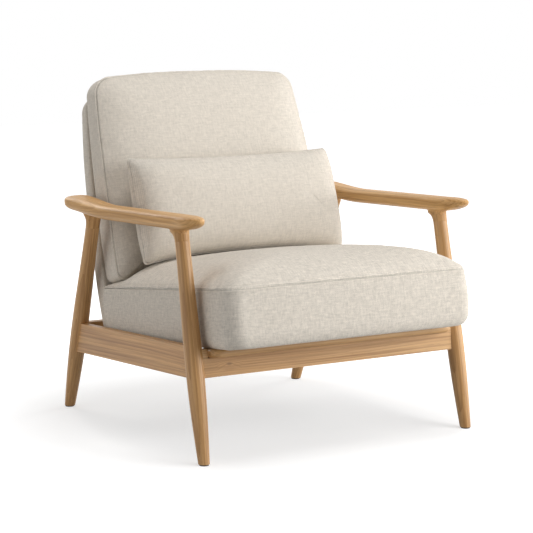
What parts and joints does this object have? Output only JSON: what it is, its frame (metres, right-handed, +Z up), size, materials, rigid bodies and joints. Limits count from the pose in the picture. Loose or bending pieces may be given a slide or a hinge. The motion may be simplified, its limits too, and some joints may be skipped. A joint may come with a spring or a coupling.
{
  "type": "lounge armchair",
  "caption": "Low lounge armchair with a tapered round-legged oak frame, sculpted paddle arms, reclined upholstered back, boxed loose cushions and a lumbar pillow.",
  "frame": {"origin": "on the floor, under the middle of the chair's bounding box", "axes": "+Z up, the chair faces -Y, +X is the chair's right-hand side as seen from its front"},
  "size_m": [0.7708, 0.8098, 0.8264],
  "materials": {
    "oak": "satin",
    "ply": "matte",
    "linen": "matte",
    "foam": "matte",
    "webbing": "matte",
    "steel": "satin",
    "glide": "matte"
  },
  "bodies": {
    "frame": {"front_leg_left": "oak", "front_leg_right": "oak", "rear_leg_left": "oak", "rear_leg_right": "oak", "armrest_left": "oak", "armrest_right": "oak", "side_rail_left": "oak", "side_rail_right": "oak", "front_rail": "oak", "rear_rail": "oak", "seat_nosing": "oak", "seat_batten_left": "ply", "seat_batten_right": "ply", "webbing_straps": "webbing", "corner_blocks": "ply", "corner_screws": "steel", "back_mounting_blocks": "ply", "back_bolts": "steel", "back_panel": "ply", "back_shell": "linen", "foot_glides": "glide"},
    "loose_seat": {"seat_cushion": "linen", "seat_foam": "foam"},
    "loose_back": {"back_cushion": "linen", "back_foam": "foam"},
    "loose_pillow": {"lumbar_pillow": "linen", "pillow_filling": "foam"}
  },
  "joints": [
    {"name": "seat_cushion_slide", "type": "slide", "parent": "frame", "child": "loose_seat", "axis": [0, -0.9925, 0.1219], "range_m": [0, 0.65]},
    {"name": "pillow_lift", "type": "slide", "parent": "loose_seat", "child": "loose_pillow", "axis": [0, 0, 1], "range_m": [0, 0.3]},
    {"name": "back_cushion_lift", "type": "slide", "parent": "loose_seat", "child": "loose_back", "axis": [0, 0.2924, 0.9563], "range_m": [0, 0.52]}
  ]
}
